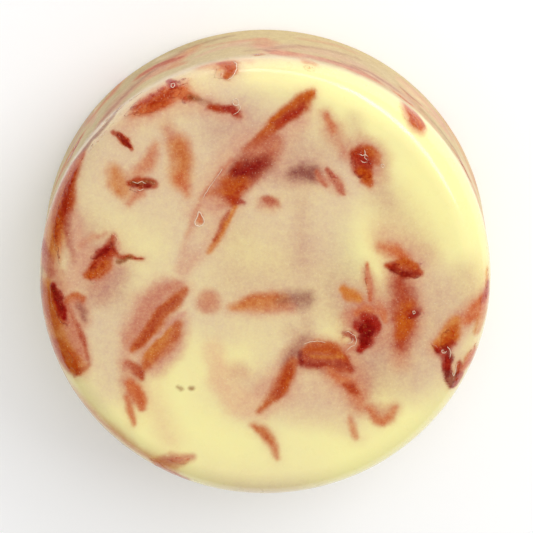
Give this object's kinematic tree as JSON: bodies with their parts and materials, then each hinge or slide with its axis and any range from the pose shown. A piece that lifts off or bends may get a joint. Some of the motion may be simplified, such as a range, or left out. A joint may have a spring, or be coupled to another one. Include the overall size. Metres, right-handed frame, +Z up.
{
  "type": "shaving soap puck",
  "caption": "Round cast shaving soap puck with a rounded rim, a pale opaque base and translucent rust, amber and mauve soap shavings set into it.",
  "frame": {"origin": "centre of the puck's underside", "axes": "+Z up through the moulded face; +X to the right and +Y away, as the moulded face is read"},
  "size_m": [0.0758, 0.0758, 0.0265],
  "materials": {
    "base_soap": "satin",
    "rust_shaving": "gloss",
    "amber_shaving": "gloss",
    "mauve_shaving": "satin"
  },
  "bodies": {
    "root": {"back_wall_flakes": "rust_shaving", "bottom_left_rim_flake": "amber_shaving", "crescent_flake": "rust_shaving", "crisp_left_sliver": "rust_shaving", "dark_red_chunk": "rust_shaving", "dark_red_curl": "rust_shaving", "dark_red_underflake": "mauve_shaving", "diagonal_roll_tail": "mauve_shaving", "faint_arc_flake": "mauve_shaving", "faint_mauve_streaks": "mauve_shaving", "far_wall_band": "mauve_shaving", "far_wall_flecks": "rust_shaving", "large_roll_body": "rust_shaving", "large_roll_inner_line": "amber_shaving", "large_roll_lobe": "amber_shaving", "left_cluster": "rust_shaving", "left_cluster_underflake": "mauve_shaving", "left_crumb": "rust_shaving", "left_rim_band": "rust_shaving", "left_rim_lines": "rust_shaving", "left_wall_flake": "rust_shaving", "long_diagonal_roll": "rust_shaving", "lower_diagonal_band": "amber_shaving", "lower_flake": "amber_shaving", "lower_left_amber_flakes": "amber_shaving", "lower_left_rim_flake": "rust_shaving", "lower_right_crumbs": "rust_shaving", "mauve_band": "mauve_shaving", "mauve_left_streak": "mauve_shaving", "middle_band": "amber_shaving", "near_wall_crumbs": "rust_shaving", "near_wall_roll": "rust_shaving", "reddish_blurred_flake": "mauve_shaving", "right_chunk_underflake": "mauve_shaving", "right_crisp_chunk": "rust_shaving", "right_hooked_shaving": "rust_shaving", "right_rim_amber_flake": "amber_shaving", "right_rim_flakes": "rust_shaving", "right_thin_sliver": "rust_shaving", "right_wall_flakes": "rust_shaving", "right_wall_streak": "amber_shaving", "right_wedge_chunk": "rust_shaving", "ringed_crumb": "rust_shaving", "round_blurred_flake": "mauve_shaving", "small_centre_crumb": "amber_shaving", "small_left_crumb": "rust_shaving", "small_right_crumb": "amber_shaving", "soap_base": "base_soap", "top_rim_flakes": "amber_shaving", "twisted_flake": "amber_shaving", "underside_crumbs": "amber_shaving", "underside_flakes": "rust_shaving", "underside_roll": "rust_shaving", "upper_left_crumbs": "rust_shaving", "upper_left_rim_flake": "rust_shaving", "upright_band": "rust_shaving", "upright_band_corner": "amber_shaving", "upright_blurred_flake": "mauve_shaving", "upright_sliver": "amber_shaving"}
  },
  "joints": []
}
